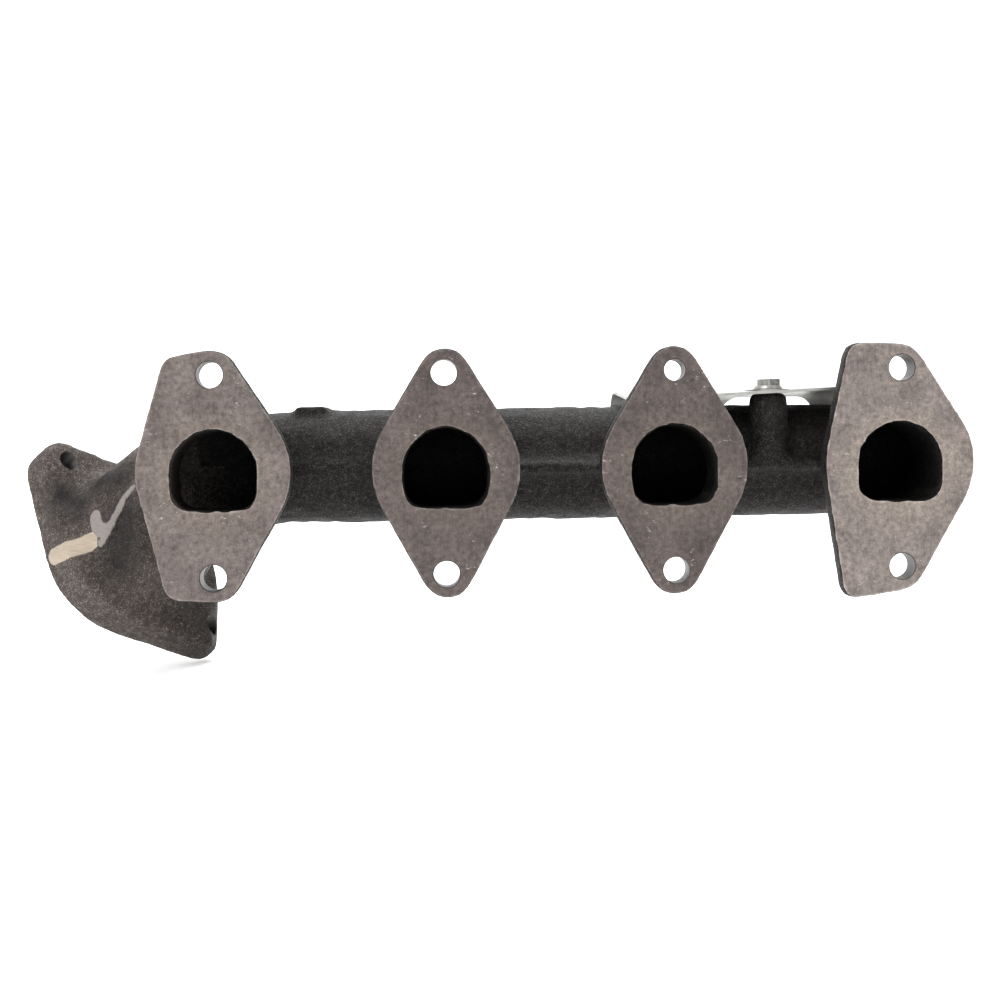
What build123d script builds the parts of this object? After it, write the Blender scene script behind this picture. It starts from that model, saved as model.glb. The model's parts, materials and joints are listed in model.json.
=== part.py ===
"""Cast-iron log exhaust manifold for one bank of a V8, with its bolted heat shield.

The machined faces of the four port flanges lie in the plane Y = 0 and face -Y, towards the
cylinder head.  X runs along the log, away from the outlet, and Z is up.  The origin is the
centre of the head-bolt pattern.  All sizes are in millimetres, and angles in degrees.
"""

import os
from math import cos, radians, sin, tan

from build123d import *

# ---- Cylinder-head side ---------------------------------------------------------------
port_count = 4
port_pitch = 100.0  # drilled pitch of the bolt pairs
casting_shrink = 0.006  # cast shapes end up this much closer together than the holes
bolt_row_gap = 87.0  # upper bolt row to lower bolt row
flange_thickness = 11.5
head_bolt_hole = 11.4  # diameter
locating_hole = 9.3  # diameter of the close hole above the third port
bolt_land = 5.2  # iron left round a head-bolt hole
flange_waist = 32.5  # radius of the flange round the port
flange_waist_rise = 1.8  # height of that arc's centre above the bolt centre line
end_flange_waist = 33.5  # the two end flanges are a little wider
end_corner_radius = 4.2
# The square corners of the two end flanges: reach towards the outlet, and height.
first_flange_corners = ((17.8, -48.8), (17.2, 47.2))
last_flange_corners = ((21.3, -53.4), (19.3, 50.6))

# ---- Gas ports ------------------------------------------------------------------------
port_width = 37.0
port_crown_rise = 1.6  # height of the round crown's centre
port_floor = -14.7  # height of the flat floor
port_floor_corner = 6.0  # radius
port_side_taper = 0.5  # each side leans in this much from the crown to the floor
runner_wall = 5.5

# ---- Log ------------------------------------------------------------------------------
log_diameter = 52.0
log_wall = 5.0
log_setback = 50.0  # log axis behind the port faces
log_rise = 3.2  # log axis above the bolt centre line
elbow_start = 35.0  # the log leaves its straight this far inboard of the first port

# ---- Outlet ---------------------------------------------------------------------------
outlet_lean = 54.3  # the outlet axis leans this far off the port axis
outlet_lean_down = 35.6  # and this much of the lean is downwards, the rest being sideways
outlet_turn = 50.5  # slope of the line through the two outlet bolts, seen along the port axis
outlet_beyond = 41.1  # middle of the bolt line beyond the first port
outlet_drop = 31.6  # middle of the bolt line below the head-bolt centre line
outlet_setback = 62.0  # inner face of the outlet flange behind the port faces
outlet_thickness = 18.0
outlet_bolt_gap = 101.5
outlet_thread_hole = 8.5  # tapping size
outlet_lobe = 11.5  # radius round each outlet bolt
outlet_waist = 41.0  # radius of the flange round the bore
outlet_bore = 51.0  # diameter of the machined seat
outlet_bore_depth = 9.0
outlet_bore_step = 1.0  # ledge where the seat meets the cast wall
outlet_neck_wall = 7.5
elbow_lead = 66.0  # how far the elbow carries on straight along the log
elbow_run_in = 12.0  # how far it runs straight into the outlet flange
elbow_sections = 5

# ---- Ribs and pads on the casting -----------------------------------------------------
web_thickness = 4.8
web_rise = 1.5
web_front = 16.0  # front face of the web behind the port faces
low_web_front = 21.0  # the web beside the first port stands less proud
label_pad_length = 14.0
label_pad_width = 24.0
label_pad_height = 1.3
label_pad_from_port = 40.0  # from the first port

# ---- Heat shield and its fixings ------------------------------------------------------
shield_thickness = 1.2
shield_over_log = 4.8  # seat of the roof above the top of the log
shield_front = 14.0  # front edge behind the port faces
shield_back_rise = 3.8  # the roof climbs this far towards the back
shield_twist = 2.8  # the front edge dips this much at the left end and lifts at the right
shield_left = 18.0  # left end, outboard of the third port's centre
shield_right = 9.0  # right end, beyond the last port's centre
shield_bend = 15.0  # inside radius of the bend into the skirt
shield_corner = 10.0  # radius of its outer corners
skirt_low = -13.0  # lower edge of the skirt
arch_left = 36.0  # left side of the arch in the skirt, beyond the third port's centre
arch_width = 46.0
arch_top = 33.6
arch_corner = 9.0  # radius
hole_clearance = 0.4  # shield holes over the bolt shanks, on the radius
boss_diameter = 17.2
boss_from_middle = 3.5  # tall boss, this far towards the third port from mid-span
boss_setback = 24.6
side_boss_diameter = 15.0
side_boss_height = 6.4  # seat of the skirt, beyond the outside of the log
seat_pad_radius = 10.5
bolt_thread = 6.0
bolt_head_flats = 10.0
bolt_head_height = 4.8
bolt_head_chamfer = 0.8
bolt_collar_diameter = 13.0
bolt_collar_height = 1.4
bolt_collar_slope = 30.0
thread_clearance = 0.1  # on the radius
top_bolt_length = 16.0
side_bolt_length = 8.0
bolt_end_room = 2.0  # tapped depth beyond the bolt's end

# ---- Worked-out values ----------------------------------------------------------------
log_radius = log_diameter / 2
log_bore = log_radius - log_wall
shield_height = log_rise + log_radius + shield_over_log  # above the bolt centre line
head_lobe = head_bolt_hole / 2 + bolt_land
first_port = -(port_count - 1) / 2 * port_pitch
third_port = first_port + 2 * port_pitch
last_port = -first_port
cast_scale = 1 - casting_shrink
past_face = 5.0  # cutters start this far in front of a face

outlet_axis = Vector(
    -sin(radians(outlet_lean)) * cos(radians(outlet_lean_down)),
    cos(radians(outlet_lean)),
    -sin(radians(outlet_lean)) * sin(radians(outlet_lean_down)),
)
# The bolt line lies square to the axis, so it also runs a little in depth.
outlet_bolt_line = Vector(
    cos(radians(outlet_turn)),
    tan(radians(outlet_lean)) * cos(radians(outlet_turn + outlet_lean_down)),
    -sin(radians(outlet_turn)),
).normalized()
outlet_plane = Plane(
    origin=(first_port - outlet_beyond, outlet_setback, -outlet_drop),
    x_dir=outlet_bolt_line,
    z_dir=outlet_axis,
)

boss_x = (third_port + last_port) / 2 - boss_from_middle
shield_x_left = third_port - shield_left
shield_x_right = last_port + shield_right
arch_x_left = third_port + arch_left
arch_x_right = arch_x_left + arch_width
skirt_seat = log_setback + log_radius + side_boss_height
side_bolt_x = ((shield_x_left + arch_x_left) / 2, (arch_x_right + shield_x_right) / 2)


def hull_of_circles(circles):
    """The outline of a tight band round circles given as (x, y, radius)."""
    with BuildSketch() as outline:
        with BuildLine():
            for x, y, radius in circles:
                CenterArc((x, y), radius, 0, 360)
        make_hull()
    return outline.sketch


def port_outline(wall=0.0):
    """The D of a gas port, crown up, grown outwards by a wall."""
    crown = port_width / 2
    corner_x = crown - port_floor_corner - port_side_taper
    corner_y = port_floor + port_floor_corner
    with BuildSketch() as outline:
        with BuildLine():
            CenterArc((0, port_crown_rise), crown + wall, 0, 180)
            CenterArc((-corner_x, corner_y), port_floor_corner + wall, 180, 90)
            CenterArc((corner_x, corner_y), port_floor_corner + wall, 270, 90)
        make_hull()
    return outline.sketch


def flange_outline(index):
    """A port flange: a diamond, or at each end of the log one with two square corners."""
    corners = {0: first_flange_corners, port_count - 1: last_flange_corners}.get(index, ())
    waist = end_flange_waist if corners else flange_waist
    circles = [(0, flange_waist_rise, waist)]
    for side in (-1, 1):
        circles.append((0, side * bolt_row_gap / 2, head_lobe))
    for reach, height in corners:
        circles.append((-reach, height, end_corner_radius))
    return hull_of_circles(circles)


def outlet_outline():
    """The two-bolt outlet flange, about the middle of its bolt line."""
    return hull_of_circles(
        [
            (0, 0, outlet_waist),
            (-outlet_bolt_gap / 2, 0, outlet_lobe),
            (outlet_bolt_gap / 2, 0, outlet_lobe),
        ]
    )


def port_plane(x, y=0.0):
    """A sketch plane facing the cylinder head, with local Y up."""
    return Plane(origin=(x, y, 0), x_dir=(1, 0, 0), z_dir=(0, -1, 0))


def elbow_path(run_on):
    """The gas path from the log to the outlet, carried on past the flange's inner face."""
    outlet_centre = outlet_plane.origin
    start = Vector(first_port + elbow_start, log_setback, log_rise)
    with BuildLine() as path:
        Bezier(
            start,
            start - Vector(elbow_lead, 0, 0),
            outlet_centre - outlet_axis * elbow_run_in,
            outlet_centre,
        )
        if run_on > 0:
            Line(outlet_centre, outlet_centre + outlet_axis * run_on)
    return path.wire()


def elbow_planes(path):
    """Section planes along a path, each with its fraction of the way."""
    steps = [index / (elbow_sections - 1) for index in range(elbow_sections)]
    across = Vector(-1, 0, 0).cross(outlet_axis)
    return [(step, Plane(origin=path @ step, x_dir=across, z_dir=path % step)) for step in steps]


def sealing_plane():
    """The outlet's machined face, with its origin midway between the bolts."""
    return outlet_plane.offset(outlet_thickness)


def blend(step, first, last):
    """A radius that eases from first to last."""
    ease = step * step * (3 - 2 * step)
    return first + (last - first) * ease


# ---- The casting ----------------------------------------------------------------------
with BuildPart() as casting_outside:
    # The log, closed by a round end beyond the last port.
    log_plane = Plane(
        origin=(first_port + elbow_start, log_setback, log_rise), z_dir=(1, 0, 0)
    )
    with BuildSketch(log_plane):
        Circle(log_radius)
    extrude(amount=last_port * cast_scale - log_plane.origin.X)
    with Locations((last_port * cast_scale, log_setback, log_rise)):
        Sphere(log_radius)

    # Runners, from each flange to the log.
    for index in range(port_count):
        port_x = (first_port + index * port_pitch) * cast_scale
        with BuildSketch(port_plane(port_x, flange_thickness / 2)):
            add(port_outline(runner_wall))
        extrude(amount=flange_thickness / 2 - log_setback)

    # The elbow, which turns down and outwards to the outlet.
    for step, plane in elbow_planes(elbow_path(outlet_thickness / 2)):
        with BuildSketch(plane):
            Circle(blend(step, log_radius, outlet_bore / 2 + outlet_neck_wall))
    loft()

    # The webs between the runners, and the low one beside the first port.
    for index in range(port_count - 1):
        front = low_web_front if index == 0 else web_front
        web_x = first_port + (index + 0.5) * port_pitch
        with BuildSketch(port_plane(web_x, front)):
            with Locations((0, web_rise)):
                Rectangle(port_pitch - port_width, web_thickness)
        extrude(amount=front - log_setback)

    # The port flanges.
    for index in range(port_count):
        port_x = (first_port + index * port_pitch) * cast_scale
        with BuildSketch(port_plane(port_x)):
            add(flange_outline(index))
        extrude(amount=-flange_thickness)

    # The outlet flange.
    with BuildSketch(outlet_plane):
        add(outlet_outline())
    extrude(amount=outlet_thickness)

    # The tall boss, which stands on the web and carries the shield's roof.
    with BuildSketch(Plane.XY.offset(web_rise)):
        with Locations((boss_x, boss_setback)):
            Circle(boss_diameter / 2)
    extrude(amount=shield_height - web_rise)

    # The two side bosses, on the outside of the log.
    for bolt_x in side_bolt_x:
        with BuildSketch(port_plane(bolt_x, skirt_seat)):
            with Locations((0, log_rise)):
                Circle(side_boss_diameter / 2)
        extrude(amount=side_boss_height + log_wall / 2)

    # The plain label pad on top of the log.
    pad_top = log_rise + log_radius + label_pad_height
    with BuildSketch(Plane.XY.offset(pad_top)):
        with Locations((first_port + label_pad_from_port, log_setback)):
            RectangleRounded(label_pad_length, label_pad_width, 2)
    extrude(amount=-label_pad_height - log_wall / 2)

with BuildPart() as gas_way:
    # The hollow of the log.
    with BuildSketch(log_plane):
        Circle(log_bore)
    extrude(amount=last_port * cast_scale - log_plane.origin.X)
    with Locations((last_port * cast_scale, log_setback, log_rise)):
        Sphere(log_bore)

    # The ports, from in front of the faces to the middle of the log.
    for index in range(port_count):
        port_x = (first_port + index * port_pitch) * cast_scale
        with BuildSketch(port_plane(port_x, -past_face)):
            add(port_outline())
        extrude(amount=-past_face - log_setback)

    # The elbow, and the machined seat in the outlet flange.
    for step, plane in elbow_planes(elbow_path(outlet_thickness)):
        with BuildSketch(plane):
            Circle(blend(step, log_bore, outlet_bore / 2 - outlet_bore_step))
    loft()
    with BuildSketch(sealing_plane().offset(-outlet_bore_depth)):
        Circle(outlet_bore / 2)
    extrude(amount=outlet_bore_depth + past_face)

with BuildPart() as manifold_casting:
    add(casting_outside.part)
    add(gas_way.part, mode=Mode.SUBTRACT)

    # Head-bolt holes: all are clearance holes but the locating one over the third port.
    for index in range(port_count):
        for side in (-1, 1):
            is_locating = index == 2 and side == 1
            hole_diameter = locating_hole if is_locating else head_bolt_hole
            with Locations(port_plane(first_port + index * port_pitch)):
                with Locations((0, side * bolt_row_gap / 2)):
                    Hole(hole_diameter / 2, depth=flange_thickness)

    # Tapped holes of the outlet flange.
    with Locations(sealing_plane()):
        with Locations((-outlet_bolt_gap / 2, 0), (outlet_bolt_gap / 2, 0)):
            Hole(outlet_thread_hole / 2, depth=outlet_thickness)

    # The flat inboard side of the outlet flange.  It cuts into the mouth of the lower bolt
    # hole, which leans away from it and is whole by the time it reaches the outer face.
    lower_bolt = outlet_plane.origin + outlet_bolt_line * (outlet_bolt_gap / 2)
    with BuildSketch(Plane.XY.offset(lower_bolt.Z - 2 * outlet_lobe)):
        with Locations((lower_bolt.X, lower_bolt.Y)):
            Rectangle(2 * outlet_lobe, 2 * outlet_waist, align=(Align.MIN, Align.CENTER))
    extrude(amount=4 * outlet_lobe, mode=Mode.SUBTRACT)

    # Tapped holes of the shield's three bosses.
    with Locations((boss_x, boss_setback, shield_height)):
        Hole(bolt_thread / 2, depth=top_bolt_length - shield_thickness + bolt_end_room)
    for bolt_x in side_bolt_x:
        with Locations(Plane(origin=(bolt_x, skirt_seat, log_rise), z_dir=(0, 1, 0))):
            Hole(bolt_thread / 2, depth=side_bolt_length - shield_thickness + bolt_end_room)

manifold_casting.part.label = "manifold_casting"


# ---- The heat shield ------------------------------------------------------------------
def shield_profile(x, front_drop):
    """The bent sheet's section at x: roof, bend and skirt, its front edge lowered."""
    seat_share = (boss_setback - shield_front) / (skirt_seat - shield_front)
    roof_front = shield_height - shield_back_rise * seat_share
    roof_back = roof_front + shield_back_rise
    with BuildSketch(Plane(origin=(x, 0, 0), x_dir=(0, 1, 0), z_dir=(1, 0, 0))) as section:
        with BuildLine():
            FilletPolyline(
                (shield_front, roof_front - front_drop),
                (skirt_seat, roof_back),
                (skirt_seat, skirt_low),
                radius=shield_bend,
            )
            offset(amount=shield_thickness, side=Side.LEFT)
        make_face()
    return section.sketch


with BuildPart() as heat_shield:
    half_span = (shield_x_right - shield_x_left) / 2
    for end_x in (shield_x_left, shield_x_right):
        add(shield_profile(end_x, shield_twist * (boss_x - end_x) / half_span))
    loft(ruled=True)

    # Rounded outer corners: two on the roof's front edge, two at the skirt's foot.
    corner_edges = heat_shield.edges().filter_by(
        lambda edge: abs(edge.length - shield_thickness) < 0.01
    )
    fillet(corner_edges, radius=shield_corner)

    # The arch in the skirt, open at the foot.
    with BuildSketch(port_plane((arch_x_left + arch_x_right) / 2, skirt_seat - shield_bend)):
        with Locations((0, arch_top)):
            RectangleRounded(
                arch_width,
                2 * (arch_top - skirt_low),
                arch_corner,
                align=(Align.CENTER, Align.MAX),
            )
    extrude(amount=-2 * shield_bend, mode=Mode.SUBTRACT)

    # A flat pad round the roof's bolt, seated on the tall boss.
    roof_seat = Plane((boss_x, boss_setback, shield_height))
    with BuildSketch(roof_seat.offset(-2 * shield_thickness)):
        Circle(seat_pad_radius - shield_thickness / 2)
    extrude(amount=4 * shield_thickness, mode=Mode.SUBTRACT)
    with BuildSketch(roof_seat):
        Circle(seat_pad_radius)
    extrude(amount=shield_thickness)

    # Bolt holes, one through the pad and one through each leg of the skirt.
    with BuildSketch(roof_seat):
        Circle(bolt_thread / 2 + hole_clearance)
    extrude(amount=shield_thickness, mode=Mode.SUBTRACT)
    for bolt_x in side_bolt_x:
        with BuildSketch(port_plane(bolt_x, skirt_seat)):
            with Locations((0, log_rise)):
                Circle(bolt_thread / 2 + hole_clearance)
        extrude(amount=-shield_thickness, mode=Mode.SUBTRACT)

heat_shield.part.label = "heat_shield"


# ---- The bolts ------------------------------------------------------------------------
def flange_bolt(under_head, length):
    """A hexagon bolt with a collar; under_head is the plane its collar bears on."""
    with BuildPart() as bolt:
        with BuildSketch(under_head):
            Circle(bolt_collar_diameter / 2)
        extrude(amount=bolt_collar_height, taper=bolt_collar_slope)
        with BuildSketch(under_head):
            RegularPolygon(bolt_head_flats / 2, side_count=6, major_radius=False)
        extrude(amount=bolt_head_height)
        head_top = bolt.faces().sort_by(lambda face: under_head.to_local_coords(face.center()).Z)[-1]
        chamfer(head_top.edges(), length=bolt_head_chamfer)
        with BuildSketch(under_head):
            Circle(bolt_thread / 2 - thread_clearance)
        extrude(amount=-length)
    return bolt.part


with BuildPart() as shield_top_bolt:
    add(flange_bolt(roof_seat.offset(shield_thickness), top_bolt_length))

shield_top_bolt.part.label = "shield_top_bolt"

with BuildPart() as shield_side_bolts:
    for bolt_x in side_bolt_x:
        skirt_outside = Plane(
            origin=(bolt_x, skirt_seat + shield_thickness, log_rise), z_dir=(0, 1, 0)
        )
        add(flange_bolt(skirt_outside, side_bolt_length))

shield_side_bolts.part.label = "shield_side_bolts"

# ---- Files ----------------------------------------------------------------------------
os.makedirs("parts", exist_ok=True)
for piece in (manifold_casting, heat_shield, shield_top_bolt, shield_side_bolts):
    export_step(piece.part, f"parts/{piece.part.label}.step")
    print(piece.part.label, round(piece.part.volume), "mm3")
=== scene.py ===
# %% [markdown]
# # An exhaust manifold, cast and then machined
#
# The part is one grey iron casting: four flanges that bolt to a cylinder head, a log that
# gathers the gas, and an elbow down to a two-bolt outlet.  A bent sheet shield sits over one
# end on three small bolts.  The CAD model, which is the frame, has every size right but every
# surface perfect.  Here the looks are made in the order that the foundry and the machine shop
# made the real one: a rough skin first, then flat faces and holes cut into it.

# %% Load the frame
import json
import math

import bmesh
import bpy
import numpy as np
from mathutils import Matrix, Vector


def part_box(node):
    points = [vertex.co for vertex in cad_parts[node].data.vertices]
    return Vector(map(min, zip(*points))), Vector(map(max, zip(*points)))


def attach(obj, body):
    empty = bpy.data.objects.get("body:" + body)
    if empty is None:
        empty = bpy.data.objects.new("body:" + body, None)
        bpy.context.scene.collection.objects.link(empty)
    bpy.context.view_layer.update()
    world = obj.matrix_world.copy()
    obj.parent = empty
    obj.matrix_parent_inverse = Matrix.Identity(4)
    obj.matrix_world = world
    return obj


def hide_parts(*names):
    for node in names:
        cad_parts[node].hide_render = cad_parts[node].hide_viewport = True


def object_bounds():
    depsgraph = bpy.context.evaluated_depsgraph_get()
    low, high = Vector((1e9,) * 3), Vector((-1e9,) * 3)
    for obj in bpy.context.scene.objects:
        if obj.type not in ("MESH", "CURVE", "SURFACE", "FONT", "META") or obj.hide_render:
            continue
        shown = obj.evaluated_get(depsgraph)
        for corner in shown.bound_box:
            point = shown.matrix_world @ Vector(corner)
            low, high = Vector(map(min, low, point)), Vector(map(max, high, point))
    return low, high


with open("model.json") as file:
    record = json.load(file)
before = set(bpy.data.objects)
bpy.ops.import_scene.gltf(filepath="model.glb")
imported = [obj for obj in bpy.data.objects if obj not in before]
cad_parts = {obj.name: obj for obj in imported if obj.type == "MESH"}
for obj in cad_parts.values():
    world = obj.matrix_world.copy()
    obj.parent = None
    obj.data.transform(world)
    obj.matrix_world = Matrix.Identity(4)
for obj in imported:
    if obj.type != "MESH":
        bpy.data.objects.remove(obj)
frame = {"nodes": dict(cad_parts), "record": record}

import openvdb
from mathutils import Matrix, Vector

cad_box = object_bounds()
print("nodes:", sorted(frame["nodes"]))

# %% [markdown]
# ## Sizes that the frame already holds
#
# The record lists each hole and machined face with its place, direction and radius, so nothing
# has to be measured again.  The shapes below are worked out in millimetres, which keep the
# numbers easy to read, and become metres when a mesh is made.

# %% Read the mounts
MM = 0.001
mounts = {mount["name"]: mount for mount in frame["record"]["mounts"]}
head_bolts = mounts["head_bolts_outer"]["dims"]
bolt_row_gap = head_bolts["spacing_y_mm"]
port_count = 4
port_pitch = head_bolts["spacing_x_mm"] / (port_count - 1)
hole_x = [(index - (port_count - 1) / 2) * port_pitch for index in range(port_count)]
port_x = [1000 * mounts[f"port_{index + 1}_face"]["pos_m"][0] for index in range(port_count)]
flange_thickness = mounts["port_3_locating_hole"]["dims"]["length_mm"]
outlet_centre = 1000 * Vector(mounts["outlet_bolts"]["pos_m"])
outlet_axis = Vector(mounts["outlet_bolts"]["axis"]).normalized()
outlet_hole_radius = mounts["outlet_bolts"]["dims"]["hole_r_mm"]
port_rise = 1.5
log_setback = 50
log_rise = 3.2
print("port centres at", port_x, "outlet centre at", outlet_centre)

# %% [markdown]
# ## The rough casting
#
# Sand-cast iron has no sharp inside corners, and its skin is slightly lumpy.  Bevels on the CAD
# mesh would break where runner, web, flange and log meet.  A distance field has no such
# trouble: every point of space holds its distance to the surface, so growing the shape and
# shrinking it back fills each inside corner with a round, and adding a little noise to the
# distances makes the skin lumpy.  OpenVDB, which Blender's own Remesh uses, does this.

# %% Take the CAD casting, proud where it will be machined
grid_step = 1.65
face_stock = 3.0
casting_cad = frame["nodes"]["manifold_casting"]


def points_and_triangles(mesh):
    """A mesh as two arrays: its points in millimetres, and its triangles."""
    mesh.calc_loop_triangles()
    points = np.empty(len(mesh.vertices) * 3, np.float32)
    mesh.vertices.foreach_get("co", points)
    triangles = np.empty(len(mesh.loop_triangles) * 3, np.int32)
    mesh.loop_triangles.foreach_get("vertices", triangles)
    return points.reshape(-1, 3) / MM, triangles.reshape(-1, 3).astype(np.uint32)


rough_points, rough_triangles = points_and_triangles(casting_cad.data)
on_head_face = rough_points[:, 1] < 0.01
rough_points[on_head_face, 1] = -face_stock
beyond_outlet = (rough_points - np.array(outlet_centre)) @ np.array(outlet_axis)
on_outlet_face = beyond_outlet > -0.01
rough_points[on_outlet_face] += face_stock * np.array(outlet_axis, np.float32)
print("left proud:", on_head_face.sum(), "and", on_outlet_face.sum(), "points")


# %% Helpers that grow and shrink a shape
def field_of(points, triangles, reach):
    """The distance field round a closed surface, true as far as this reach."""
    return openvdb.FloatGrid.createLevelSetFromPolygons(
        points,
        triangles=triangles,
        transform=openvdb.createLinearTransform(voxelSize=grid_step),
        halfWidth=reach / grid_step + 3,
    )


def surface_of(field, distance=0.0):
    """The surface at a distance from a field's shape, as points and triangles."""
    points, triangles, quads = field.convertToPolygons(isovalue=distance)
    halves = np.concatenate([quads[:, [0, 1, 2]], quads[:, [0, 2, 3]]])
    return points, np.concatenate([triangles, halves]).astype(np.uint32)


def grown(points, triangles, distance):
    """The shape grown outwards by a distance, or shrunk if it is negative."""
    return surface_of(field_of(points, triangles, abs(distance)), distance)


# %% Lay out the grid
low_corner = rough_points.min(0) - 6 * grid_step
grid_low = np.floor(low_corner / grid_step).astype(int)
grid_count = np.ceil((rough_points.max(0) + 6 * grid_step) / grid_step).astype(int) - grid_low
grid_line = [(grid_low[axis] + np.arange(grid_count[axis])) * grid_step for axis in range(3)]
X = grid_line[0][:, None, None]
Y = grid_line[1][None, :, None]
Z = grid_line[2][None, None, :]
field_reach = 9.0


def distances(points, triangles):
    """The distance field as an array over the whole grid."""
    array = np.empty(tuple(grid_count), np.float32)
    field = field_of(points, triangles, field_reach)
    field.copyToArray(array, ijk=tuple(int(value) for value in grid_low))
    return array


sharp = distances(rough_points, rough_triangles)
print("grid of", sharp.shape, "cells, distances", sharp.min(), "to", sharp.max())


# %% Plug the drilled holes
def rod(centre, axis, radius, half_length):
    """Distances to a round rod, by its middle, direction, radius and half length."""
    along = (X - centre[0]) * axis[0] + (Y - centre[1]) * axis[1] + (Z - centre[2]) * axis[2]
    squared = (X - centre[0]) ** 2 + (Y - centre[1]) ** 2 + (Z - centre[2]) ** 2
    across = np.sqrt(np.maximum(squared - along**2, 0))
    return np.maximum(across - radius, np.abs(along) - half_length)


head_plug_radius = 6.5
flange_middle = (flange_thickness - face_stock) / 2
flange_half = (flange_thickness + face_stock) / 2
for x in hole_x:
    for side in (-1, 1):
        middle = (x, flange_middle, side * bolt_row_gap / 2)
        plug = rod(middle, (0, 1, 0), head_plug_radius, flange_half)
        sharp = np.minimum(sharp, plug)

outlet_thickness = 18.0
outlet_bolt_gap = mounts["outlet_bolts"]["dims"]["pcd_mm"]
outlet_slope = math.radians(50.5)
outlet_plug_radius = outlet_hole_radius + 0.8
line_run, line_fall = math.cos(outlet_slope), -math.sin(outlet_slope)
line_depth = -(outlet_axis.x * line_run + outlet_axis.z * line_fall) / outlet_axis.y
outlet_bolt_line = Vector((line_run, line_depth, line_fall)).normalized()
outlet_holes = [outlet_centre + side * outlet_bolt_gap / 2 * outlet_bolt_line for side in (-1, 1)]
flat_x = (outlet_holes[1] - outlet_thickness * outlet_axis).x
for mouth in outlet_holes:
    middle = mouth - outlet_axis * (outlet_thickness - face_stock) / 2
    plug = rod(middle, outlet_axis, outlet_plug_radius, (outlet_thickness + face_stock) / 2)
    sharp = np.minimum(sharp, np.maximum(plug, X - flat_x))
print("outlet holes at", outlet_holes)


# %% Round the inside corners, then the outside edges
def as_surface(array):
    """The zero surface of an array of distances."""
    field = openvdb.FloatGrid(field_reach)
    field.copyFromArray(array, ijk=tuple(int(value) for value in grid_low))
    field.transform = openvdb.createLinearTransform(voxelSize=grid_step)
    return surface_of(field)


plugged = as_surface(sharp)
web_round = 2.0
elbow_round = 5.0
edge_round = 1.1
small_rounds = distances(*grown(*grown(*plugged, web_round), -web_round))
large_rounds = distances(*grown(*grown(*plugged, elbow_round), -elbow_round))
elbow_from = port_x[0] - 12
elbow_fade = 14
elbow_share = np.clip((elbow_from - X) / elbow_fade, 0, 1)
runner_peak = 1.6
runner_fade = 34
runner_top = 26
runner_amount = 0.25
runner_share = 0.0
for x in port_x:
    near_port = np.clip(runner_peak - np.abs(X - x) / runner_fade, 0, 1)
    runner_share = np.maximum(runner_share, near_port)
runner_share = runner_share * (Z < runner_top) * runner_amount
share = np.maximum(elbow_share, runner_share)
rounded = small_rounds * (1 - share) + large_rounds * share
pad_x = port_x[0] + 39
pad_half, pad_bottom, pad_front = 11, 22, 30
by_pad = (np.abs(X - pad_x) < pad_half) & (Z > pad_bottom) & (Y > pad_front)
boss_x = sum(corner.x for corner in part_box("shield_top_bolt")) / 2 / MM
boss_half, boss_bottom, boss_back = 13, 6, 36
by_boss = (np.abs(X - boss_x) < boss_half) & (Z > boss_bottom) & (Y < boss_back)
rounded = np.where(by_pad | by_boss, sharp, rounded)
opened = distances(*grown(*grown(*as_surface(rounded), -edge_round), edge_round))
rounded = np.where(by_pad, sharp, opened)
print("rounded the corners by", web_round, "to", elbow_round, "mm and edges by", edge_round)

# %% [markdown]
# ## Foundry marks on the elbow
#
# Where the two halves of the mould met, a thin seam of iron runs down the elbow, and beside it
# the gate, where the iron was poured in, was knocked off and ground flush.  Both follow the
# curved skin, so each is a chain of points on it, and the shape is how far each place is from
# that chain.

# %% Measure distances to a chain of points
seam_chain = [(-187.8, 26.8, -4.9), (-191.9, 27.2, -9.3), (-195.1, 27.3, -14.2),
              (-197.9, 27.7, -19.9), (-200.4, 28.6, -24.8), (-204.0, 30.5, -29.8)]
gate_chain = [(-225.6, 39.6, -35.7), (-219.5, 34.4, -32.8), (-213.5, 34.0, -31.0),
              (-207.4, 33.9, -28.5)]
lobe_chain = [(-206.5, 33.1, -17.8), (-205.3, 31.1, -23.5), (-201.8, 29.3, -23.5)]
valley_chain = [(-192.6, 26.0, -16.8), (-193.0, 26.0, -24.0), (-194.2, 27.0, -30.5),
                (-196.6, 29.8, -38.0)]
bulge_chain = [(-185.7, 24.3, -12.4), (-186.0, 24.1, -21.0), (-187.0, 26.4, -32.5)]
recess_chain = [(-221.9, 45.1, -9.5), (-218.5, 45.0, -14.0)]
crook_chain = [(-207.2, 48.7, -1.6), (-196.0, 35.0, 0.5)]
gate_radius = 4.0
lobe_radius = 3.3
seam_radius = 1.5


def from_chain(x, y, z, chain):
    """Distance from each place to the nearest point of a chain of straight pieces."""
    nearest = np.inf
    for start, end in zip(chain, chain[1:]):
        run = [end[axis] - start[axis] for axis in range(3)]
        squared = sum(step * step for step in run)
        part = (x - start[0]) * run[0] + (y - start[1]) * run[1] + (z - start[2]) * run[2]
        part = np.clip(part / squared, 0, 1)
        gap = np.sqrt(
            (x - start[0] - part * run[0]) ** 2
            + (y - start[1] - part * run[1]) ** 2
            + (z - start[2] - part * run[2]) ** 2
        )
        nearest = np.minimum(nearest, gap)
    return nearest


to_seam = from_chain(X, Y, Z, seam_chain) - seam_radius
to_gate = from_chain(X, Y, Z, gate_chain) - gate_radius
to_lobe = from_chain(X, Y, Z, lobe_chain) - lobe_radius
print("chains measured over", to_seam.size, "cells")

# %% [markdown]
# ## The sand's own relief
#
# Real castings are uneven at three scales: broad swells from the pattern, lumps a few
# millimetres wide from the rammed sand, and single grains.  The first two are real geometry
# here, added to the distances, and trimmed so that the part never outgrows its CAD size.
# The grains are finer than the mesh and are left to the material.


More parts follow.
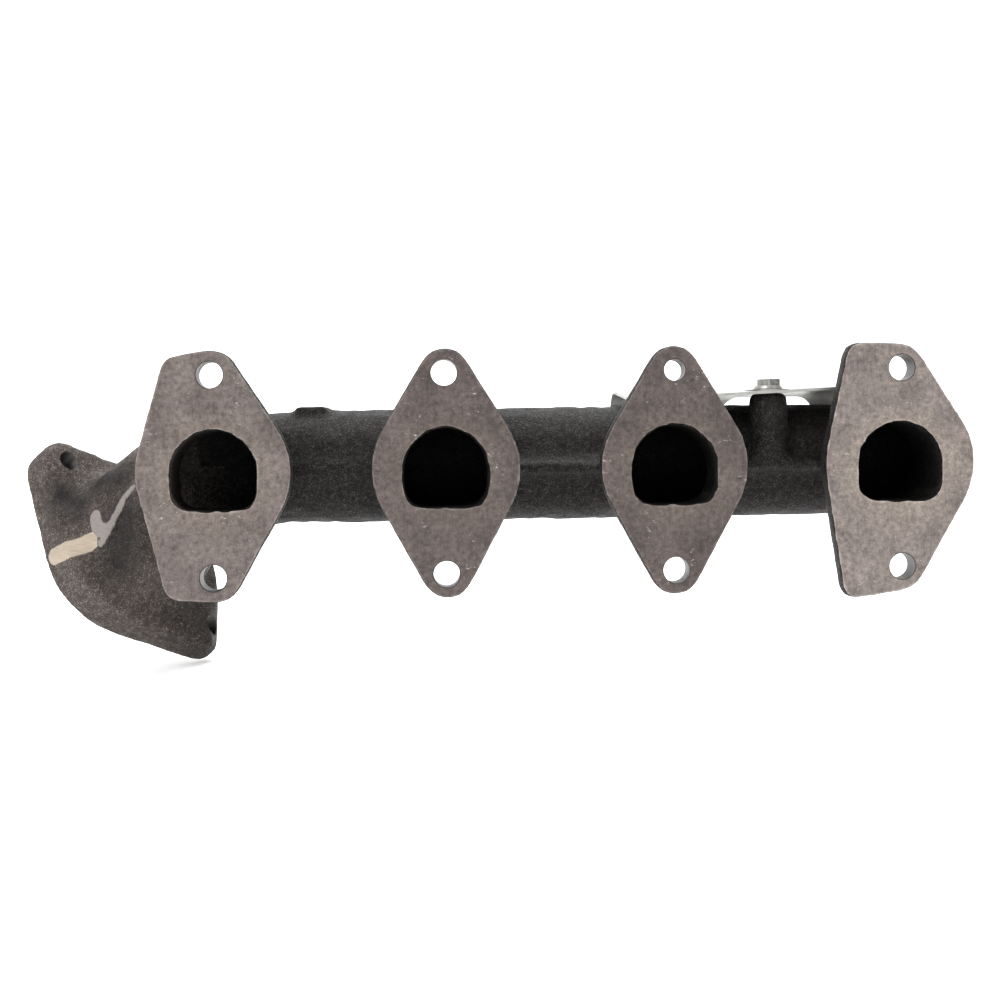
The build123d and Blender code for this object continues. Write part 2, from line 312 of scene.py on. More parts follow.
# %% Make the relief
def relief(size, seed):
    """Smooth random relief from 0 to 1, with lumps of about this size in millimetres."""
    random = np.random.default_rng(seed)
    spans = [int(room / size) + 3 for room in (480, 150, 190)]
    values = random.uniform(0, 1, spans).astype(np.float32)
    for axis in range(3):
        place = (grid_line[axis] - grid_line[axis][0]) / size
        below = place.astype(int)
        part = place - below
        part = part * part * (3 - 2 * part)
        shape = [1, 1, 1]
        shape[axis] = -1
        part = part.reshape(shape)
        nearer = np.take(values, below, axis)
        values = nearer + (np.take(values, below + 1, axis) - nearer) * part
    return values


quiet = 0.4
flange_back = 12
flange_fade = 6
behind_flange = np.clip((Y - flange_back) / flange_fade, 0, 1)
calm = (quiet + (1 - quiet) * behind_flange) * np.where(by_pad, quiet, 1.0)
swells = 0.9 * (relief(24, 1) - 0.5) * calm
sand_lumps = 0.6 * (relief(5, 2) - 0.5) * calm
sand_pits = 0.5 * (relief(3, 3) - 0.5) * calm
port_reach = np.inf
for x in port_x:
    port_reach = np.minimum(port_reach, np.sqrt((X - x) ** 2 + (Z - port_rise) ** 2))
mouth_reach, mouth_fade = 27, 4
mouth_depth, depth_fade = 10, 8
near_mouth = np.clip((mouth_reach - port_reach) / mouth_fade, 0, 1)
near_mouth = near_mouth * np.clip((mouth_depth - Y) / depth_fade, 0, 1)
ragged = (relief(2.6, 4) - 0.5) * near_mouth
gate_fade = 1.5
gate_smoothness = 0.8
gate_height = 0.55
seam_height = 0.9
seam_fade = 1.4
stub_inset = 1.6
on_gate = np.clip(-np.minimum(to_gate, to_lobe) / gate_fade, 0, 1)
skin = rounded + (swells + sand_lumps + sand_pits) * (1 - gate_smoothness * on_gate) + ragged
skin -= gate_height * on_gate
skin -= seam_height * np.clip(1 - np.maximum(to_seam, 0) / seam_fade, 0, 1)
hollows = ((valley_chain, 3.2, 10), (recess_chain, 1.8, 8), (bulge_chain, -2.0, 12))
for chain, depth, reach in hollows:
    skin += depth * np.clip(1 - from_chain(X, Y, Z, chain) / reach, 0, 1) ** 2
skin = np.minimum(skin, to_gate + stub_inset)
for axis, place in enumerate((X, Y, Z)):
    low, high = (corner[axis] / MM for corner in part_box("manifold_casting"))
    skin = np.maximum(skin, place - high)
    if axis != 1:
        skin = np.maximum(skin, low - place)
rough_skin = as_surface(skin.astype(np.float32))
print("rough casting:", len(rough_skin[0]), "points,", len(rough_skin[1]), "triangles")


# %% Turn it into a Blender object
def mesh_object(name, points, faces):
    """A linked object from points in millimetres and a list of faces."""
    mesh = bpy.data.meshes.new(name)
    mesh.from_pydata([tuple(MM * float(v) for v in point) for point in points], [], faces)
    mesh.validate()
    thing = bpy.data.objects.new(name, mesh)
    bpy.context.scene.collection.objects.link(thing)
    return thing


def facing_out(points, triangles):
    """The triangles, turned so that the surface encloses a positive volume."""
    a, b, c = (points[triangles[:, k]].astype(float) for k in range(3))
    volume = np.einsum("ij,ij->i", a, np.cross(b, c)).sum()
    return triangles if volume > 0 else triangles[:, ::-1]


def smooth(thing):
    """Shade a mesh smooth between its sharp edges."""
    for polygon in thing.data.polygons:
        polygon.use_smooth = True


casting = mesh_object(
    "cast_manifold", rough_skin[0], facing_out(*rough_skin).astype(int).tolist()
)
print("cast_manifold has", len(casting.data.polygons), "faces")

# %% [markdown]
# ## Materials: a few short helpers
#
# All materials are built from noise in object space, so they need no unwrapping and stay the
# same size on every piece.  Each helper adds one node and returns its output.


# %% Node helpers
def start_material(name):
    """A new material, with its tree, its shader and its object coordinates in metres."""
    material = bpy.data.materials.new(name)
    material.use_nodes = True
    tree = material.node_tree
    shader = tree.nodes["Principled BSDF"]
    place = tree.nodes.new("ShaderNodeTexCoord").outputs["Object"]
    return material, tree, shader, place


def wire(tree, socket, value):
    """Set a socket to a number or colour, or link it to another node's output."""
    if isinstance(value, bpy.types.NodeSocket):
        tree.links.new(value, socket)
    else:
        socket.default_value = value


def sum_of(tree, kind, first, second=0.0, third=0.0, clamp=False):
    """One arithmetic step on plain values."""
    step = tree.nodes.new("ShaderNodeMath")
    step.operation = kind
    step.use_clamp = clamp
    for socket, value in zip(step.inputs, (first, second, third)):
        wire(tree, socket, value)
    return step.outputs[0]


def grain(tree, place, size, detail=2.0, roughness=0.5, stretch=(1, 1, 1)):
    """Noise with features of about this size in millimetres, stretched along the axes."""
    scaled = tree.nodes.new("ShaderNodeVectorMath")
    scaled.operation = "MULTIPLY"
    wire(tree, scaled.inputs[0], place)
    scaled.inputs[1].default_value = [1 / (size * MM * along) for along in stretch]
    noise = tree.nodes.new("ShaderNodeTexNoise")
    wire(tree, noise.inputs["Vector"], scaled.outputs[0])
    noise.inputs["Scale"].default_value = 1.0
    noise.inputs["Detail"].default_value = detail
    noise.inputs["Roughness"].default_value = roughness
    return noise.outputs[0]


def spread(tree, value, low, high, new_low=0.0, new_high=1.0):
    """Stretch the part of a value between low and high over a new range."""
    step = tree.nodes.new("ShaderNodeMapRange")
    for name, number in zip(
        ("From Min", "From Max", "To Min", "To Max"), (low, high, new_low, new_high)
    ):
        step.inputs[name].default_value = number
    wire(tree, step.inputs["Value"], value)
    return step.outputs[0]


def blend(tree, share, first, second, kind="MIX"):
    """A colour between two colours."""
    mix = tree.nodes.new("ShaderNodeMix")
    mix.data_type = "RGBA"
    mix.blend_type = kind
    wire(tree, mix.inputs[0], share)
    wire(tree, mix.inputs[6], first)
    wire(tree, mix.inputs[7], second)
    return mix.outputs[2]


def bump(tree, height, depth, strength=1.0, over=None):
    """Fine relief, its depth in millimetres, laid over any coarser relief."""
    step = tree.nodes.new("ShaderNodeBump")
    step.inputs["Strength"].default_value = strength
    step.inputs["Distance"].default_value = depth * MM
    wire(tree, step.inputs["Height"], height)
    if over is not None:
        wire(tree, step.inputs["Normal"], over)
    return step.outputs[0]


def mark(tree, name):
    """A value that the mesh itself carries at each point."""
    step = tree.nodes.new("ShaderNodeAttribute")
    step.attribute_name = name
    return step.outputs["Fac"]


# %% [markdown]
# ## The cast skin
#
# Burnt sand leaves iron nearly black, with brown-grey grains that catch the light.  One noise
# gives the grains' height, a second their colour, partly grain colour and partly painted glints
# that stand in for the light they catch, and a broad one makes some patches browner.  The gate
# is the same iron ground bright.  The seam is painted paler, a painted highlight along its crest,
# and painted shade darkens the valley by the seam and a recess, with a darker patch at the crook
# of the elbow.  They share this material, and marks carried by the mesh say where they are.

# %% Mix the cast skin
cast_skin, tree, shader, place = start_material("sand_cast_iron")
fine = grain(tree, place, 0.6, detail=2.0, roughness=0.6)
coarse = grain(tree, place, 2.4, detail=3.0, roughness=0.6)
patches = grain(tree, place, 22, detail=3.0)
grains = spread(tree, fine, 0.42, 0.72)
black_iron = blend(tree, patches, (0.003, 0.003, 0.0032, 1), (0.010, 0.0092, 0.0088, 1))
brown_iron = blend(tree, patches, (0.026, 0.022, 0.021, 1), (0.060, 0.049, 0.045, 1))
along_log = tree.nodes.new("ShaderNodeSeparateXYZ")
wire(tree, along_log.inputs[0], place)
at_elbow = spread(tree, along_log.outputs["X"], -0.150, -0.185)
iron = blend(tree, at_elbow, black_iron, brown_iron)
# painted glints: the brighter grains, strongest on the elbow, are partly grain colour and partly
# painted highlight
grain_glints = blend(tree, at_elbow, (0.070, 0.063, 0.058, 1), (0.27, 0.225, 0.195, 1))
glinted_grains = blend(tree, grains, iron, grain_glints)
patchy_glints = blend(tree, spread(tree, coarse, 0.35, 0.7), iron, glinted_grains)
ground_noise = sum_of(tree, "MULTIPLY", sum_of(tree, "SUBTRACT", coarse, 0.5), 1.6)
to_ground = sum_of(tree, "ADD", mark(tree, "gate"), ground_noise)
is_ground = spread(tree, to_ground, 0.15, -0.15)
scratches = grain(tree, place, 0.8, detail=2.0, stretch=(6, 6, 0.5))
ground_iron = blend(tree, scratches, (0.27, 0.22, 0.17, 1), (0.50, 0.43, 0.345, 1))
to_seam_edge = sum_of(tree, "ADD", mark(tree, "seam"), ground_noise)
is_seam = sum_of(tree, "MULTIPLY", spread(tree, to_seam_edge, 0.3, -0.3), 0.85)
# painted shade along the valley and the recess, and a darker patch at the crook of the elbow
shaded_skin = blend(tree, spread(tree, mark(tree, "painted_shade"), 0.0, 1.0, 0.0, 0.8), patchy_glints,
              (0.012, 0.0115, 0.0115, 1))
# painted highlight: the seam is coloured paler along its crest
seam_highlight = blend(tree, fine, (0.20, 0.18, 0.165, 1), (0.33, 0.30, 0.28, 1))
highlighted_skin = blend(tree, is_seam, shaded_skin, seam_highlight)
skinned = blend(tree, is_ground, highlighted_skin, ground_iron)
unlit = sum_of(tree, "MULTIPLY", mark(tree, "inside"), 0.7)
wire(tree, shader.inputs["Base Color"], blend(tree, unlit, skinned, (0.003, 0.003, 0.003, 1)))
shader.inputs["Metallic"].default_value = 0.05
shader.inputs["Specular IOR Level"].default_value = 0.12
wire(tree, shader.inputs["Roughness"], spread(tree, fine, 0.3, 0.7, 0.75, 0.45))
coarse_relief = bump(tree, coarse, 0.5, strength=0.5)
wire(tree, shader.inputs["Normal"], bump(tree, fine, 0.35, strength=0.8, over=coarse_relief))
print("mixed", cast_skin.name)

# %% [markdown]
# ## The machined faces
#
# A milling cutter leaves fine parallel lines on the port flanges.  Handling, oil and light rust
# then give them brown-grey mottling, dark pits and a paler ring round each port.  The lines are
# noise stretched along Z, the ring comes from the distance to the nearest port, and the bright
# worn rim from a mark that holds each point's distance to the edge.

# %% Mix the machined face
machined, tree, shader, place = start_material("milled_iron")
split = tree.nodes.new("ShaderNodeSeparateXYZ")
wire(tree, split.inputs[0], place)
across, up = split.outputs["X"], split.outputs["Z"]
cast_pitch = (port_x[1] - port_x[0]) * MM
turns = sum_of(tree, "DIVIDE", sum_of(tree, "SUBTRACT", across, port_x[0] * MM), cast_pitch)
off_port = sum_of(tree, "SUBTRACT", turns, sum_of(tree, "ROUND", turns))
off_port = sum_of(tree, "MULTIPLY", off_port, cast_pitch / MM)
height = sum_of(tree, "MULTIPLY", up, 1 / MM)
radius = sum_of(tree, "POWER", sum_of(tree, "ADD", sum_of(tree, "MULTIPLY", off_port, off_port),
                                      sum_of(tree, "MULTIPLY", height, height)), 0.5)
mottle = grain(tree, place, 13, detail=5.0, roughness=0.6)
lines = grain(tree, place, 0.55, detail=3.0, roughness=0.6, stretch=(1, 1, 28))
speck = grain(tree, place, 0.8, detail=2.0, roughness=0.7)
brown = blend(tree, spread(tree, mottle, 0.3, 0.7), (0.105, 0.088, 0.081, 1),
              (0.27, 0.228, 0.205, 1))
lined = blend(tree, sum_of(tree, "MULTIPLY", spread(tree, lines, 0.3, 0.7), 0.35), brown,
              (0.29, 0.25, 0.232, 1))
ring = sum_of(tree, "MULTIPLY", spread(tree, radius, 30, 20), 0.35)
ringed = blend(tree, ring, lined, (0.31, 0.262, 0.215, 1))
stain = spread(tree, grain(tree, place, 7, detail=5.0, roughness=0.7), 0.58, 0.70)
stained = blend(tree, sum_of(tree, "MULTIPLY", stain, 0.6), ringed, (0.075, 0.064, 0.06, 1))
pits = spread(tree, grain(tree, place, 1.1, detail=2.0), 0.70, 0.76)
pitted = blend(tree, sum_of(tree, "MULTIPLY", pits, 0.7), stained, (0.05, 0.043, 0.04, 1))
glints = spread(tree, speck, 0.62, 0.74)
last_port = spread(tree, across, 0.10, 0.12, 0.25, 0.75)
glinting = blend(tree, sum_of(tree, "MULTIPLY", glints, last_port), pitted, (0.55, 0.5, 0.47, 1))
rim_noise = sum_of(tree, "MULTIPLY", grain(tree, place, 5, detail=3.0), 2.4)
worn_rim = spread(tree, sum_of(tree, "SUBTRACT", mark(tree, "rim"), rim_noise), 0.0, -1.0)
rimmed = blend(tree, sum_of(tree, "MULTIPLY", worn_rim, 0.5), glinting, (0.55, 0.5, 0.46, 1))
cloud = spread(tree, grain(tree, place, 2.4, detail=5.0, roughness=0.75), 0.32, 0.68, 0.55, 1.4)
clouded = blend(tree, 1.0, rimmed, cloud, kind="MULTIPLY")
first_port = spread(tree, across, -0.12, -0.10, 0.62, 1.0)
darkened = sum_of(tree, "MULTIPLY", first_port, spread(tree, across, 0.10, 0.12, 1.0, 0.0))
toned = blend(tree, darkened, clouded, (0.47, 0.445, 0.45, 1), kind="MULTIPLY")
scuff = grain(tree, place, 1.3, detail=3.0, roughness=0.7, stretch=(2.5, 1, 1))
scuffed_at = spread(tree, grain(tree, place, 11, detail=2.0), 0.55, 0.66)
scuffs = sum_of(tree, "MULTIPLY", spread(tree, scuff, 0.60, 0.68), scuffed_at)
wire(tree, shader.inputs["Base Color"],
     blend(tree, sum_of(tree, "MULTIPLY", scuffs, 0.8), toned, (0.62, 0.58, 0.55, 1)))
shader.inputs["Metallic"].default_value = 0.55
wire(tree, shader.inputs["Roughness"], spread(tree, mottle, 0.3, 0.7, 0.42, 0.60))
line_relief = bump(tree, lines, 0.03, strength=0.6)
wire(tree, shader.inputs["Normal"], bump(tree, speck, 0.08, strength=0.5, over=line_relief))
print("mixed", machined.name)

# %% Mix the drilled holes
drilled, tree, shader, place = start_material("drilled_iron")
rings = grain(tree, place, 0.5, detail=2.0, stretch=(20, 1, 20))
wire(tree, shader.inputs["Base Color"],
     blend(tree, rings, (0.022, 0.020, 0.019, 1), (0.085, 0.076, 0.070, 1)))
shader.inputs["Metallic"].default_value = 0.4
wire(tree, shader.inputs["Roughness"], spread(tree, rings, 0.3, 0.7, 0.35, 0.6))
wire(tree, shader.inputs["Normal"], bump(tree, rings, 0.1))
print("mixed", drilled.name)

# %% [markdown]
# ## Machine the casting
#
# A boolean cut does what the cutter does: it leaves a dead flat face whose outline wanders with
# the rough skin behind it.  The cutter carries the material of the surface it leaves, and
# Blender hands that on to the new faces.  The slab that faces the ports is a fine grid, so the
# faces it leaves have points all over, which the marks need.


# %% Shapes of the cutters
def slab(name, centre, axis, half, depth, cell, material):
    """A block on the outer side of a plane, its near face a grid of cells."""
    count = max(1, round(2 * half / cell))
    turn = Vector(axis).to_track_quat("Z", "Y").to_matrix()
    mesh = bmesh.new()
    bmesh.ops.create_grid(mesh, x_segments=count, y_segments=count, size=half)
    back = bmesh.ops.extrude_face_region(mesh, geom=mesh.faces[:])
    moved = [item for item in back["geom"] if isinstance(item, bmesh.types.BMVert)]
    bmesh.ops.translate(mesh, verts=moved, vec=(0, 0, depth))
    bmesh.ops.recalc_face_normals(mesh, faces=mesh.faces)
    thing = mesh_object(name, [], [])
    mesh.to_mesh(thing.data)
    mesh.free()
    placed = Matrix.Translation(MM * Vector(centre)) @ turn.to_4x4() @ Matrix.Scale(MM, 4)
    thing.data.transform(placed)
    thing.data.materials.append(material)
    return thing


def lathe(profile, centre, axis, segments=48, thread=0.0, pitch=1.0):
    """Points and faces turned from (height, radius) pairs; a thread adds a helical groove."""
    turn = Vector(axis).to_track_quat("Z", "Y")
    points = []
    for level, radius in profile:
        for k in range(segments):
            phase = (level / pitch - k / segments) % 1
            out = radius + thread * (1 - abs(2 * phase - 1))
            angle = 2 * math.pi * k / segments
            spot = Vector((out * math.cos(angle), out * math.sin(angle), level))
            points.append(Vector(centre) + turn @ spot)
    faces = [list(range(segments))[::-1]]
    for row in range(len(profile) - 1):
        for k in range(segments):
            a = row * segments + k
            b = row * segments + (k + 1) % segments
            faces.append([a, b, b + segments, a + segments])
    last = (len(profile) - 1) * segments
    faces.append([last + k for k in range(segments)])
    return points, faces


def joined(name, shapes, material):
    """One object from several (points, faces) shapes."""
    points, faces = [], []
    for more_points, more_faces in shapes:
        faces += [[len(points) + index for index in face] for face in more_faces]
        points += more_points
    thing = mesh_object(name, points, faces)
    thing.data.materials.append(material)
    return thing


def cut(target, cutter):
    """Take the cutter's shape out of the target, then throw the cutter away."""
    step = target.modifiers.new("cut", "BOOLEAN")
    step.operation = "DIFFERENCE"
    step.solver = "MANIFOLD"
    step.material_mode = "TRANSFER"
    step.object = cutter
    settle(target)
    bpy.data.objects.remove(cutter)


def settle(thing):
    """Turn what the modifiers show into the object's own mesh."""
    bpy.context.view_layer.update()
    shown = thing.evaluated_get(bpy.context.evaluated_depsgraph_get())
    mesh = bpy.data.meshes.new_from_object(shown)
    thing.modifiers.clear()
    thing.data = mesh


# %% Face the ports and the outlet
slab_depth = 20
port_slab_half, port_slab_cell = 240, 3.5
outlet_slab_half, outlet_slab_cell = 75, 5.0
casting.data.materials.append(cast_skin)
cut(casting, slab("port_facing", (0, 0, 0), (0, -1, 0), port_slab_half, slab_depth,
                  port_slab_cell, machined))
cut(casting, slab("outlet_facing", outlet_centre, outlet_axis, outlet_slab_half, slab_depth,
                  outlet_slab_cell, machined))
print("faced: now", len(casting.data.polygons), "faces")

# %% Drill and tap the holes
past = 2.0
mouth_bevel = 0.4


def drill(mouth, axis, radius, depth, thread=0.0, pitch=1.5):
    """A drill with a slightly flared mouth, entering at the mouth against the axis."""
    levels = [(past, radius + mouth_bevel + past), (-mouth_bevel, radius)]
    if thread > 0:
        steps = int((depth - 2 * mouth_bevel) / pitch * 8)
        levels += [(-mouth_bevel - pitch * (k + 1) / 8, radius) for k in range(steps)]
    levels.append((-depth, radius))
    return lathe(levels[::-1], mouth, axis, thread=thread, pitch=pitch)


head_drills = []
small_hole = mounts["port_3_locating_hole"]
for x in hole_x:
    for side in (-1, 1):
        is_small = abs(x - 1000 * small_hole["pos_m"][0]) < 1 and side == 1
        radius = small_hole["dims"]["r_mm"] if is_small else head_bolts["hole_r_mm"]
        head_drills.append(
            drill((x, 0, side * bolt_row_gap / 2), (0, -1, 0), radius, flange_thickness + past)
        )
cut(casting, joined("head_drills", head_drills, drilled))
tap_depth = 0.7
taps = [drill(spot, outlet_axis, outlet_hole_radius, 2 * outlet_thickness, tap_depth)
        for spot in outlet_holes]
cut(casting, joined("outlet_taps", taps, drilled))
print("drilled: now", len(casting.data.polygons), "faces")

# %% Spot-face the shield's three bosses
roof_bolt_low, roof_bolt_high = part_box("shield_top_bolt")
boss_spot = (roof_bolt_low + roof_bolt_high) / 2 / MM
side_low, side_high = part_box("shield_side_bolts")
shield_low, shield_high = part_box("heat_shield")
collar_radius = (roof_bolt_high.x - roof_bolt_low.x) / 2 / MM
sheet_thickness = 1.2
head_height = 4.8
roof_seat = roof_bolt_high.z / MM - head_height - sheet_thickness
skirt_seat = side_high.y / MM - head_height - sheet_thickness
side_spots = [(edge / MM, skirt_seat, (side_low.z + side_high.z) / 2 / MM)
              for edge in (side_low.x + collar_radius * MM, side_high.x - collar_radius * MM)]
top_spot = (boss_spot.x, boss_spot.y, roof_seat)
top_facer = [(0, 12.5), (6, 12.5)]
side_facer = [(0, 10), (3, 10)]
facers = [lathe(top_facer, top_spot, (0, 0, 1))]
facers += [lathe(side_facer, spot, (0, 1, 0)) for spot in side_spots]
cut(casting, joined("boss_facers", facers, machined))
tap_radius = 3.0
top_tap_depth = 16.8
side_tap_depth = 8.8
boss_drills = [drill(top_spot, (0, 0, 1), tap_radius, top_tap_depth)]
boss_drills += [drill(spot, (0, 1, 0), tap_radius, side_tap_depth) for spot in side_spots]
cut(casting, joined("boss_drills", boss_drills, drilled))
print("seats at", roof_seat, "and", skirt_seat)

# %% Mark the gate, the seam and the rims on the mesh
marks_at = np.empty(len(casting.data.vertices) * 3, np.float32)
casting.data.vertices.foreach_get("co", marks_at)
marks_at = marks_at.reshape(-1, 3).astype(float) / MM
at_x, at_y, at_z = marks_at.T


def add_mark(thing, name, values):
    """Store one value for each point of a mesh."""
    layer = thing.data.attributes.new(name, "FLOAT", "POINT")
    layer.data.foreach_set("value", np.asarray(values, np.float32))


def look_up(array, points):
    """Read an array of the grid between its cells, at these points."""
    place = points / grid_step - grid_low
    below = np.clip(np.floor(place).astype(int), 0, grid_count - 2)
    part = place - below
    total = 0.0
    for corner in np.ndindex(2, 2, 2):
        weight = np.prod([part[:, k] if corner[k] else 1 - part[:, k] for k in range(3)], 0)
        cell = below + corner
        total = total + weight * array[cell[:, 0], cell[:, 1], cell[:, 2]]
    return total


add_mark(casting, "gate", from_chain(at_x, at_y, at_z, gate_chain) - gate_radius)
add_mark(casting, "seam", np.minimum(from_chain(at_x, at_y, at_z, seam_chain) - seam_radius,
                                     from_chain(at_x, at_y, at_z, lobe_chain) - lobe_radius))
# painted shade: darkens the skin along the valley and the recess, and a darker patch at the crook
painted_shade = 0.0
for chain, reach in ((valley_chain, 13), (recess_chain, 12), (crook_chain, 12)):
    painted_shade = np.maximum(painted_shade, np.clip(1.3 - from_chain(at_x, at_y, at_z, chain) / reach, 0, 1))
add_mark(casting, "painted_shade", painted_shade)
in_flange = marks_at.copy()
in_flange[:, 1] = np.clip(in_flange[:, 1], flange_middle, None)
port_inside, port_end = 20.5, 45
log_inside, log_end = 22.5, -165
rim_reach = 8
to_port = np.min([np.hypot(at_x - x, at_z - port_rise) for x in port_x], 0)
in_port = (to_port < port_inside) * np.clip((at_y - 1) / 7, 0, 1)
in_log = (np.hypot(at_y - log_setback, at_z - log_rise) < log_inside) & (at_x > log_end)
add_mark(casting, "inside", np.maximum(in_port * (at_y < port_end), in_log))
add_mark(casting, "rim", np.clip(-look_up(skin, in_flange), 0, rim_reach))
casting.data.set_sharp_from_angle(angle=math.radians(40))
smooth(casting)
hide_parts("manifold_casting")
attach(casting, "root")
triangle_count = sum(len(polygon.vertices) - 2 for polygon in casting.data.polygons)
print("casting finished with", triangle_count, "triangles")

# %% [markdown]
# ## The heat shield
#
# The shield is aluminised steel, 1.2 mm thick, folded over the log.  The CAD sheet already has
# the right bends, arch and holes, so it stays and gets a finish: pale satin metal with the
# faint streaks of the rolling mill, cloudy spangle and a few handling marks.

# %% Mix the sheet metal
sheet, tree, shader, place = start_material("aluminised_sheet")
streaks = grain(tree, place, 0.9, detail=4.0, stretch=(30, 1, 1))
clouds = grain(tree, place, 9, detail=4.0, roughness=0.6)
dents = grain(tree, place, 14, detail=1.0)
pale = blend(tree, streaks, (0.30, 0.30, 0.285, 1), (0.46, 0.46, 0.44, 1))
smudge = sum_of(tree, "MULTIPLY", spread(tree, clouds, 0.45, 0.70), 0.6)
wire(tree, shader.inputs["Base Color"], blend(tree, smudge, pale, (0.22, 0.21, 0.195, 1)))
shader.inputs["Metallic"].default_value = 0.85
wire(tree, shader.inputs["Roughness"], spread(tree, clouds, 0.3, 0.7, 0.30, 0.48))
dent_relief = bump(tree, dents, 1.2, strength=0.35)
wire(tree, shader.inputs["Normal"], bump(tree, streaks, 0.04, strength=0.7, over=dent_relief))
shield = frame["nodes"]["heat_shield"]
shield.data.materials.clear()
shield.data.materials.append(sheet)
print("shield spans", [round((b - a) / MM, 1) for a, b in zip(shield_low, shield_high)])

# %% [markdown]
# ## The shield's bolts
#
# Each is an M6 flange bolt: a hexagon head with its corners turned off, a sloping collar that
# spreads the load, and a threaded shank.  The head could be a hexagon with a bevel, but the
# real one's corners come from a cone turned through a hexagon bar.  The same is done here: each
# ring of points takes the smaller of the hexagon's radius and the cone's.

# %% Mix the plating
plating, tree, shader, place = start_material("plated_steel")
wear = grain(tree, place, 1.6, detail=4.0, roughness=0.6)
wire(tree, shader.inputs["Base Color"],
     blend(tree, spread(tree, wear, 0.35, 0.7), (0.30, 0.295, 0.28, 1), (0.50, 0.49, 0.465, 1)))
shader.inputs["Metallic"].default_value = 0.9
wire(tree, shader.inputs["Roughness"], spread(tree, wear, 0.3, 0.7, 0.30, 0.5))
wire(tree, shader.inputs["Normal"], bump(tree, wear, 0.06, strength=0.6))

# %% Turn the bolts
head_flats = 10.0
collar_height = 1.4
shank_radius = 2.9
thread_depth = 0.55
thread_pitch = 1.0
top_shank, side_shank = 16, 8
around = 72


def hexagon(angle, flats):
    """Radius of a hexagon of this size across flats, in this direction."""
    return flats / 2 / math.cos((angle + math.pi / 6) % (math.pi / 3) - math.pi / 6)


def bolt_shape(seat, axis, length, turned):
    """An M6 flange bolt standing on its seat, its shank of this length below it."""
    rows = []
    steps = int(length / thread_pitch * 8)
    for k in range(steps + 1):
        rows.append((-length + k * length / steps, "thread"))
    rows += [(0, collar_radius - 0.3), (0.3, collar_radius), (0.7, collar_radius)]
    rows += [(collar_height + 0.45, 5.9)]
    for level in (collar_height + 0.5, head_height - 1.0, head_height - 0.6,
                  head_height - 0.3, head_height):
        rows.append((level, "head"))
    rows += [(head_height, 3.6), (head_height - 0.35, 3.1), (head_height - 0.4, 0.2)]
    turn = Vector(axis).to_track_quat("Z", "Y")
    points = []
    for level, size in rows:
        for k in range(around):
            angle = 2 * math.pi * k / around
            if size == "thread":
                phase = (level / thread_pitch - k / around) % 1
                taper = min(1, (level + length) / 1.0 + 0.55)
                out = (shank_radius - thread_depth * abs(2 * phase - 1)) * taper
            elif size == "head":
                cone = head_flats / 2 + 0.75 + 1.6 * (head_height - level)
                out = min(hexagon(angle + turned, head_flats), cone)
            else:
                out = size
            spot = Vector((out * math.cos(angle), out * math.sin(angle), level))
            points.append(Vector(seat) + turn @ spot)
    faces = [list(range(around))[::-1]]
    for row in range(len(rows) - 1):
        for k in range(around):
            a = row * around + k
            b = row * around + (k + 1) % around
            faces.append([a, b, b + around, a + around])
    last = (len(rows) - 1) * around
    faces.append([last + k for k in range(around)])
    return points, faces


top_seat = (boss_spot.x, boss_spot.y, roof_seat + sheet_thickness)
top_bolt = joined("top_bolt", [bolt_shape(top_seat, (0, 0, 1), top_shank, 0.1)], plating)
side_shapes = [
    bolt_shape((spot[0], spot[1] + sheet_thickness, spot[2]), (0, 1, 0), side_shank, turned)
    for spot, turned in zip(side_spots, (0.3, 0.75))
]
side_bolts = joined("side_bolts", side_shapes, plating)
for bolt, node in ((top_bolt, "shield_top_bolt"), (side_bolts, "shield_side_bolts")):
    bolt.data.set_sharp_from_angle(angle=math.radians(35))
    smooth(bolt)
    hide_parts(node)
    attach(bolt, "root")
print("bolts of", len(top_bolt.data.polygons), "and", len(side_bolts.data.polygons), "faces")

# %% [markdown]
# ## Studio
#
# A pale floor that curves up behind the part gives an even background with no horizon.  Soft
# light comes from the whole surroundings, stronger from above, with one large lamp in front at
# the upper left so that the grains of the skin catch it.

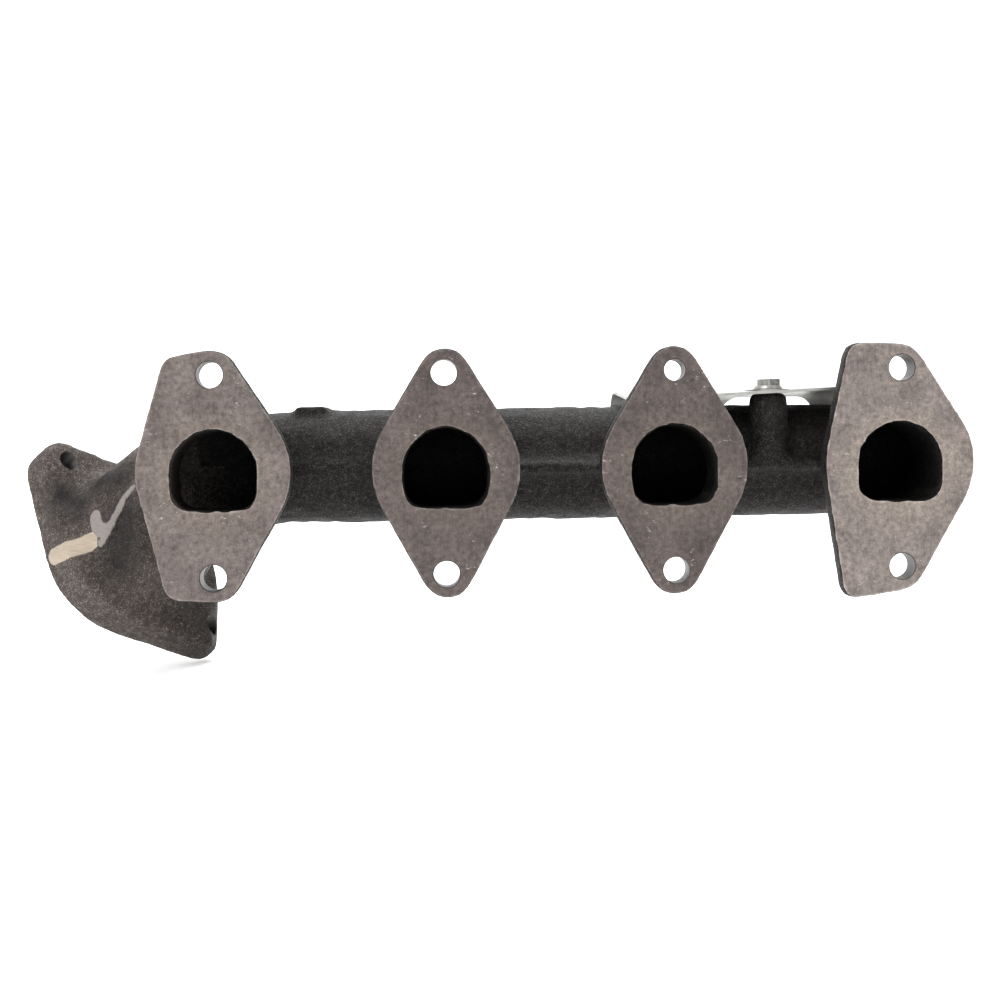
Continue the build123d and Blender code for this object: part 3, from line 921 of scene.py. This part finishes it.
# %% Lay the floor and the sweep behind it
floor_z = cad_box[0].z
sweep_reach = 6.0
sweep_start = 1.6
sweep_radius = 1.0
sweep_line = [(-6.0, floor_z), (sweep_start, floor_z)]
for k in range(1, 13):
    angle = math.radians(90 * k / 12)
    sweep_line.append((sweep_start + sweep_radius * math.sin(angle),
                       floor_z + sweep_radius * (1 - math.cos(angle))))
sweep_line.append((sweep_start + sweep_radius, 5.0))
sweep_points = [(side * sweep_reach / MM, y / MM, z / MM)
                for y, z in sweep_line for side in (-1, 1)]
sweep_faces = [[2 * k, 2 * k + 1, 2 * k + 3, 2 * k + 2] for k in range(len(sweep_line) - 1)]
floor = mesh_object("studio_floor", sweep_points, sweep_faces)
paper, tree, shader, place = start_material("white_paper")
fibres = grain(tree, place, 3, detail=3.0)
wire(tree, shader.inputs["Base Color"],
     blend(tree, fibres, (0.93, 0.93, 0.93, 1), (0.96, 0.96, 0.96, 1)))
shader.inputs["Roughness"].default_value = 0.9
shader.inputs["Specular IOR Level"].default_value = 0.1
shader.inputs["Emission Color"].default_value = (1, 1, 1, 1)
shader.inputs["Emission Strength"].default_value = 0.3
floor.data.materials.append(paper)
smooth(floor)


# %% Hang the lights
def softbox(name, place, aim, width, power):
    """A square soft lamp at a place, turned towards an aim, in metres and watts."""
    lamp = bpy.data.lights.new(name, "AREA")
    lamp.size = width
    lamp.energy = power
    thing = bpy.data.objects.new(name, lamp)
    thing.location = place
    thing.rotation_euler = (Vector(aim) - Vector(place)).to_track_quat("-Z", "Y").to_euler()
    bpy.context.scene.collection.objects.link(thing)
    return thing


middle = (0, 0.04, -0.01)
softbox("key_light", (-0.9, -1.1, 1.1), middle, 0.9, 14)
softbox("top_light", (0.2, 0.3, 1.4), middle, 1.2, 14)
softbox("back_wash", (0, 1.0, 2.2), (0, 2.2, 0.4), 2.0, 60)
world = bpy.data.worlds.new("studio")
world.use_nodes = True
bpy.context.scene.world = world
surround = world.node_tree.nodes["Background"]
surround.inputs["Color"].default_value = (1, 1, 1, 1)
surround.inputs["Strength"].default_value = 0.75
bpy.context.scene.view_settings.view_transform = "Standard"

# %% [markdown]
# ## Camera
#
# The camera looks almost straight at the port faces, a little left of the middle, from two
# thirds of a metre.

# %% Set the camera
camera_place = Vector((-60.99, -638.54, 11.76)) * MM
camera_right = Vector((0.99843927, -0.05421833, -0.01339368))
camera_forward = Vector((0.05369501, 0.99788087, -0.03675082))
camera_up = camera_right.cross(camera_forward)
lens = bpy.data.cameras.new("camera")
lens.sensor_width = 36.0
lens.lens = 53.36
lens.clip_start = 0.01
lens.clip_end = 50
camera = bpy.data.objects.new("camera", lens)
turn = Matrix((camera_right, camera_up, -camera_forward)).transposed()
camera.matrix_world = Matrix.Translation(camera_place) @ turn.to_4x4()
bpy.context.scene.collection.objects.link(camera)
bpy.context.scene.camera = camera
